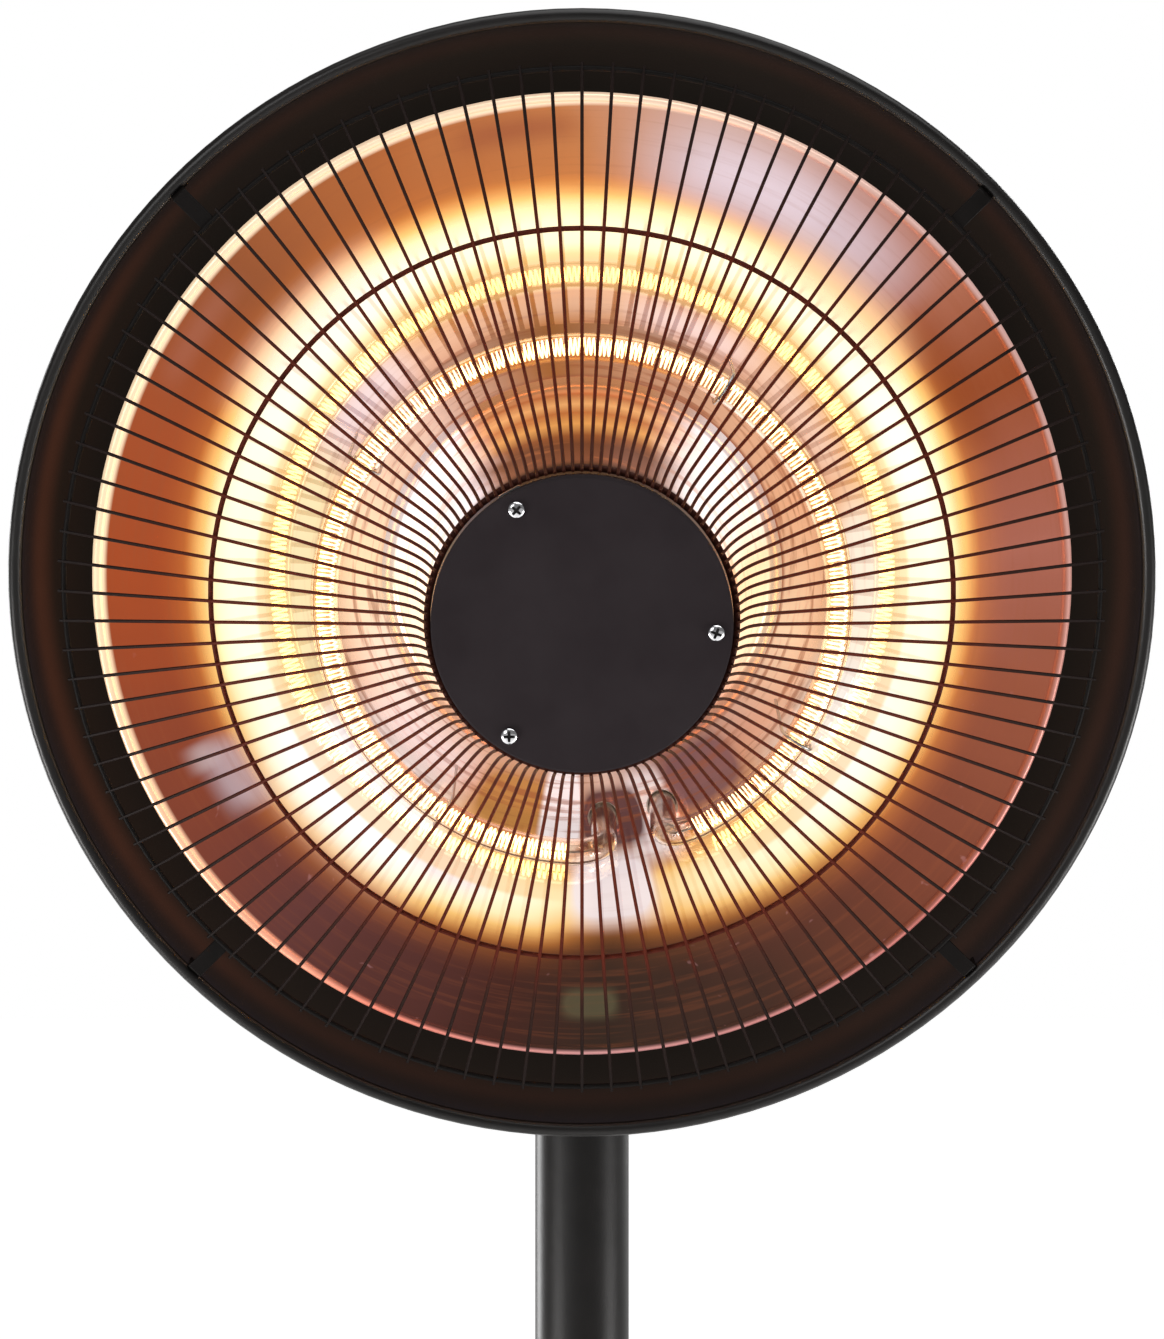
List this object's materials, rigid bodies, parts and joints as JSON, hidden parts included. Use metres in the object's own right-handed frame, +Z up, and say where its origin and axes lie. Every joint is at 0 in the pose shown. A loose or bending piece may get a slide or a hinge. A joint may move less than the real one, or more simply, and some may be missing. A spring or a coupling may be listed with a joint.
{
  "type": "infrared patio heater tower",
  "caption": "Free-standing infrared heater: round tilting head with wire guard and ring lamp on a telescopic pole with a weighted round base.",
  "frame": {"origin": "floor level under the centre of the round base", "axes": "+Z up along the pole, -Y towards the people the head faces, +X to the right seen from there"},
  "size_m": [0.5, 0.5, 2.0854],
  "materials": {
    "satin_black": "satin black powder coat",
    "black_plastic": "matt moulded black",
    "reflector": "bright polished, warm in the lamp's light",
    "guard_black": "black enamelled wire",
    "disc_brown": "satin dark warm grey enamel",
    "chrome_screw": "bright chrome",
    "zinc_steel": "zinc plated",
    "quartz": "clear quartz glass",
    "filament": "glowing wound wire",
    "ceramic": "unglazed white",
    "lead": "heatproof silicone sleeve",
    "concrete": "cast concrete",
    "rubber": "black rubber"
  },
  "bodies": {
    "base": {"base_cover": "satin_black", "base_rosette": "black_plastic", "base_weight": "concrete", "base_plate": "zinc_steel", "rubber_foot_1": "rubber", "rubber_foot_2": "rubber", "rubber_foot_3": "rubber", "rubber_foot_4": "rubber", "pole_socket": "satin_black", "socket_set_screw": "zinc_steel", "socket_bolt_1": "zinc_steel", "socket_bolt_2": "zinc_steel", "socket_bolt_3": "zinc_steel", "lower_pole": "satin_black", "guide_sleeve": "black_plastic", "height_collar": "black_plastic"},
    "mast": {"upper_pole": "satin_black", "mast_bush": "black_plastic", "fork_rivet": "zinc_steel", "tilt_fork": "satin_black", "friction_washer_1": "black_plastic", "friction_washer_2": "black_plastic", "tilt_bolt": "zinc_steel"},
    "height_lock": {"height_knob": "black_plastic"},
    "tilt_lock": {"tilt_knob": "black_plastic"},
    "switch_knob": {"power_knob": "black_plastic"},
    "head": {"shade_shell": "satin_black", "rear_housing": "satin_black", "tilt_tongue": "satin_black", "cable_gland": "black_plastic", "rotary_switch": "black_plastic", "tip_over_switch": "black_plastic", "reflector_dish": "reflector", "hub_cone": "reflector", "guard_wires": "guard_black", "guard_mid_ring": "guard_black", "guard_inner_ring": "guard_black", "centre_disc": "disc_brown", "disc_screw_1": "chrome_screw", "disc_screw_2": "chrome_screw", "disc_screw_3": "chrome_screw", "heat_shield": "zinc_steel", "holder_bracket": "zinc_steel", "guard_hub_plate": "zinc_steel", "lamp_clip_1": "zinc_steel", "lamp_clip_2": "zinc_steel", "lamp_clip_3": "zinc_steel", "lamp_clip_4": "zinc_steel", "housing_screw_1": "zinc_steel", "housing_screw_2": "zinc_steel", "housing_screw_3": "zinc_steel", "tongue_screw_1": "zinc_steel", "tongue_screw_2": "zinc_steel", "lamp_tube": "quartz", "lamp_filament": "filament", "lamp_holder_left": "ceramic", "lamp_holder_right": "ceramic", "terminal_block": "ceramic", "lamp_lead_left": "lead", "lamp_lead_right": "lead"}
  },
  "joints": [
    {"name": "height_slide", "type": "slide", "parent": "base", "child": "mast", "axis": [0, 0, 1], "range_m": [-0.4, 0]},
    {"name": "head_tilt", "type": "hinge", "parent": "mast", "child": "head", "pos_m": [0, 0, 1.915], "axis": [1, 0, 0], "range_deg": [-12, 16]},
    {"name": "height_knob_turn", "type": "hinge", "parent": "base", "child": "height_lock", "pos_m": [0.05, 0, 1.1635], "axis": [1, 0, 0], "range_deg": [0, 360]},
    {"name": "tilt_knob_turn", "type": "hinge", "parent": "mast", "child": "tilt_lock", "pos_m": [0.028, 0, 1.915], "axis": [1, 0, 0], "range_deg": [0, 360]},
    {"name": "power_knob_turn", "type": "hinge", "parent": "head", "child": "switch_knob", "pos_m": [0, -0.07031, 1.94708], "axis": [0, 0.9781, 0.2079], "range_deg": [0, 270]}
  ]
}
